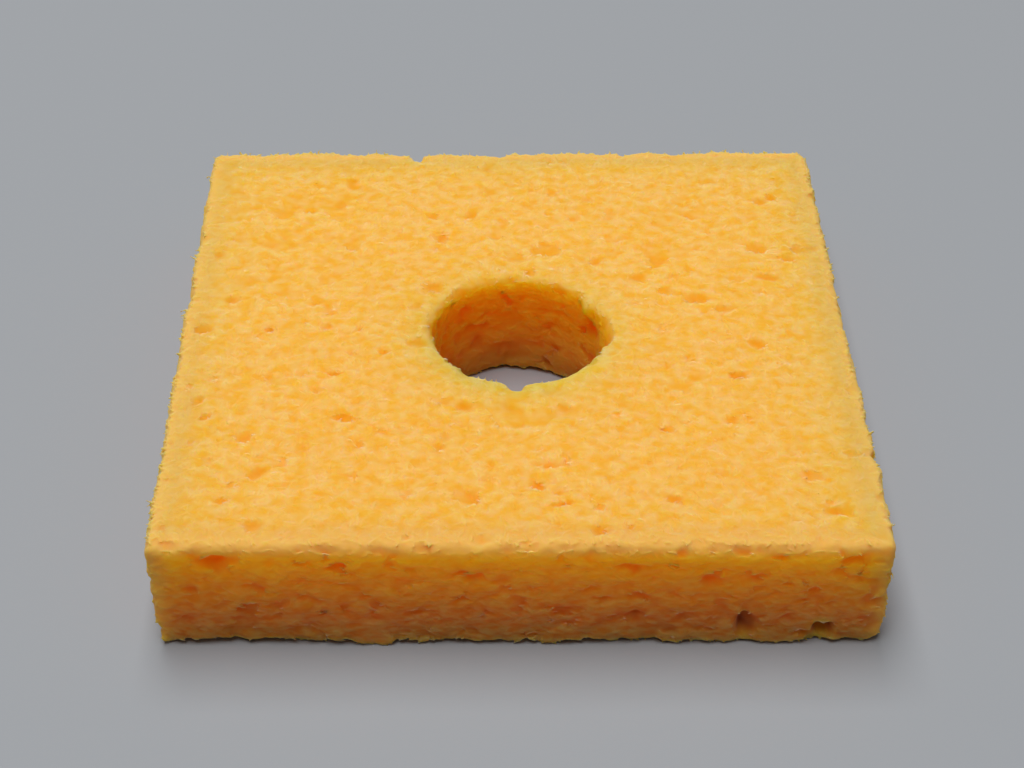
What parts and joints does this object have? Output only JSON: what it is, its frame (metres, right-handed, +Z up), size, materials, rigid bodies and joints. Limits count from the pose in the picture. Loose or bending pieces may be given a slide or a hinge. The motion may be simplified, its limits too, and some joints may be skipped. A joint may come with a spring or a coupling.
{
  "type": "soldering iron cleaning sponge",
  "caption": "Square slab of porous cellulose foam with a round hole through its middle, laid in a stand's tray to wipe a soldering iron's tip.",
  "frame": {"origin": "centre of the underside's bounding box, on the surface that the sponge lies on", "axes": "+Z up through the thickness, +X to the right along the front side, +Y to the back"},
  "size_m": [0.06, 0.06, 0.0108],
  "materials": {
    "cellulose_foam": "matt, open-pored, fuzzy cut faces"
  },
  "bodies": {
    "root": {"cleaning_sponge": "cellulose_foam"}
  },
  "joints": []
}
